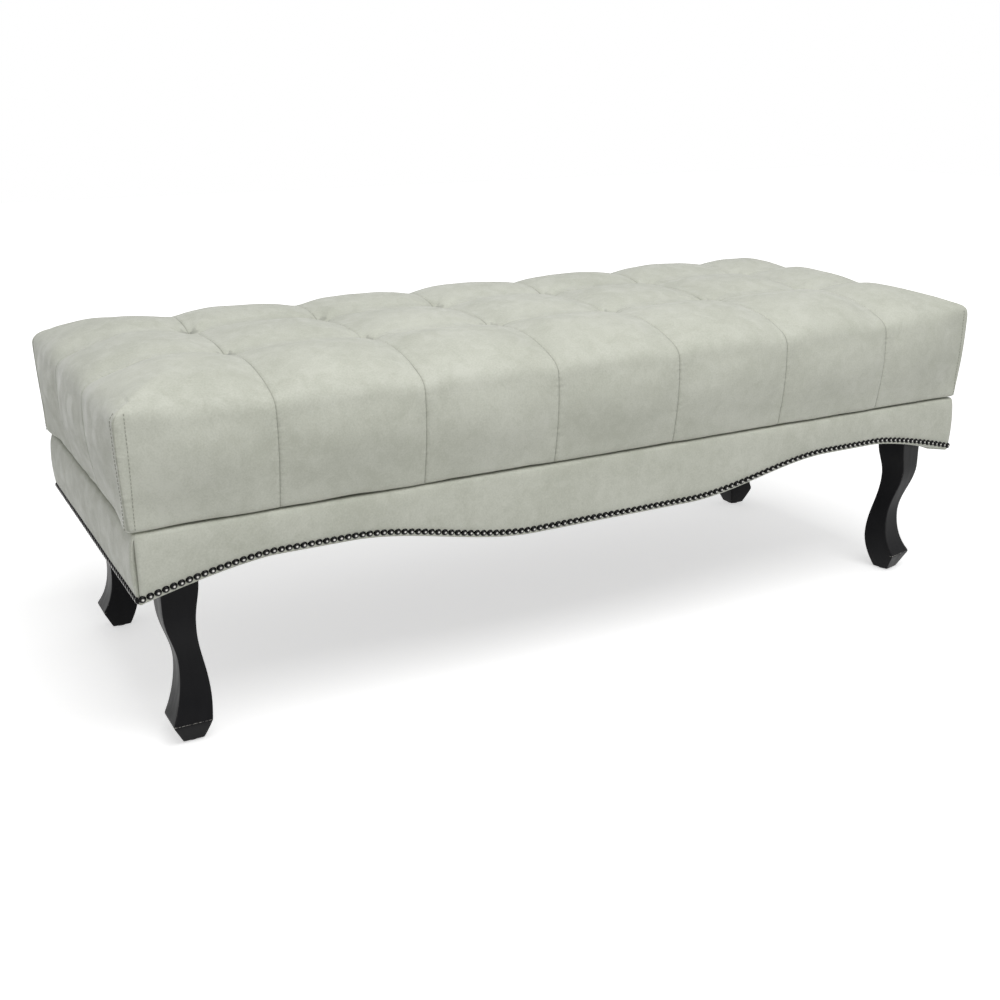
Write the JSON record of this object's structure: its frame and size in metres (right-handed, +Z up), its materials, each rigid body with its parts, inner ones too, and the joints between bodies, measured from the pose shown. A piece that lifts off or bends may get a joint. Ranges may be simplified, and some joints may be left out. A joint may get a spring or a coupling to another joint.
{
  "type": "upholstered bench",
  "caption": "Long upholstered bench: deep tufted seat on a fabric-covered apron with a wavy lower edge and nail trim, on short black cabriole legs.",
  "frame": {"origin": "on the floor, under the middle of the seat", "axes": "+X along the bench towards its right end seen from the front, +Y towards the back, +Z up"},
  "size_m": [1.3706, 0.5666, 0.482],
  "materials": {
    "upholstery": "pale greenish-grey brushed suede cloth, mottled, matt",
    "padding": "white polyester wadding",
    "foam": "cream polyurethane foam",
    "tie_cord": "waxed nylon cord",
    "dust_fabric": "black nonwoven",
    "frame_wood": "planed, unfinished",
    "leg_wood": "black satin lacquer, lightly worn edges",
    "nail_metal": "polished dark bronze nickel",
    "fastener_steel": "zinc plated",
    "glide_plastic": "black polyethylene"
  },
  "bodies": {
    "root": {"front_rail": "frame_wood", "front_padding": "padding", "front_cover": "upholstery", "front_nails": "nail_metal", "front_cleat": "frame_wood", "right_rail": "frame_wood", "right_padding": "padding", "right_cover": "upholstery", "right_nails": "nail_metal", "right_cleat": "frame_wood", "back_rail": "frame_wood", "back_padding": "padding", "back_cover": "upholstery", "back_nails": "nail_metal", "back_cleat": "frame_wood", "left_rail": "frame_wood", "left_padding": "padding", "left_cover": "upholstery", "left_nails": "nail_metal", "left_cleat": "frame_wood", "corner_block_front_left": "frame_wood", "leg_front_left": "leg_wood", "corner_block_front_right": "frame_wood", "leg_front_right": "leg_wood", "corner_block_back_right": "frame_wood", "leg_back_right": "leg_wood", "corner_block_back_left": "frame_wood", "leg_back_left": "leg_wood", "cross_brace_left": "frame_wood", "cross_brace_middle": "frame_wood", "cross_brace_right": "frame_wood", "rail_dowels": "frame_wood", "frame_screws": "fastener_steel", "seat_screws": "fastener_steel", "hanger_bolts": "fastener_steel", "leg_washers": "fastener_steel", "leg_nuts": "fastener_steel", "foot_glides": "glide_plastic", "seat_board": "frame_wood", "foam_block": "foam", "tie_washers": "fastener_steel", "tuft_ties": "tie_cord", "quilted_cover": "upholstery", "dust_cover": "dust_fabric"}
  },
  "joints": []
}
